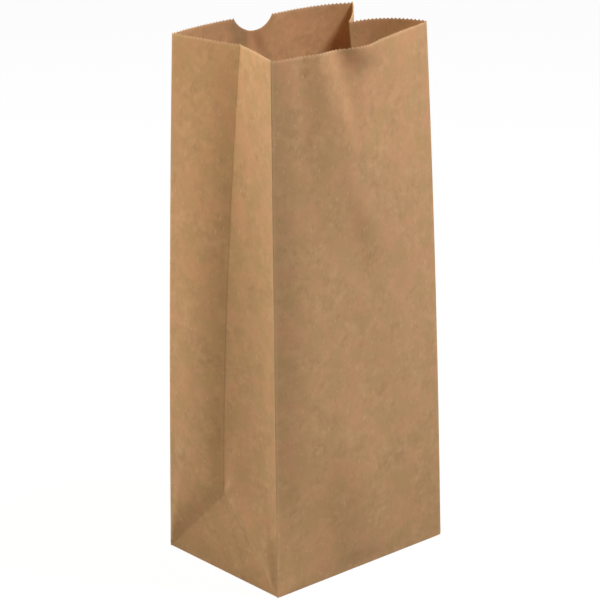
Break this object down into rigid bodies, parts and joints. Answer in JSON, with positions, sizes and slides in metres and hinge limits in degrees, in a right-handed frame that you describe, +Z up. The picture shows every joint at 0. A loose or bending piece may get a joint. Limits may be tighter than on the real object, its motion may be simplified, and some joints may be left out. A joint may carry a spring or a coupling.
{
  "type": "paper lunch bag",
  "caption": "Open kraft paper bag that stands on a folded, glued bottom, with pleated sides, a toothed mouth and a thumb notch.",
  "frame": {"origin": "middle of the base rectangle, on the surface that the bag stands on", "axes": "+X to the right along the plain front panel, +Y towards the rear panel that has the thumb notch, +Z up through the mouth"},
  "size_m": [0.1367, 0.1013, 0.3123],
  "materials": {
    "kraft_paper": "unbleached brown kraft paper, matt, machine-finished, with fine fibres and soft handling creases"
  },
  "bodies": {
    "root": {"bag": "kraft_paper"}
  },
  "joints": []
}
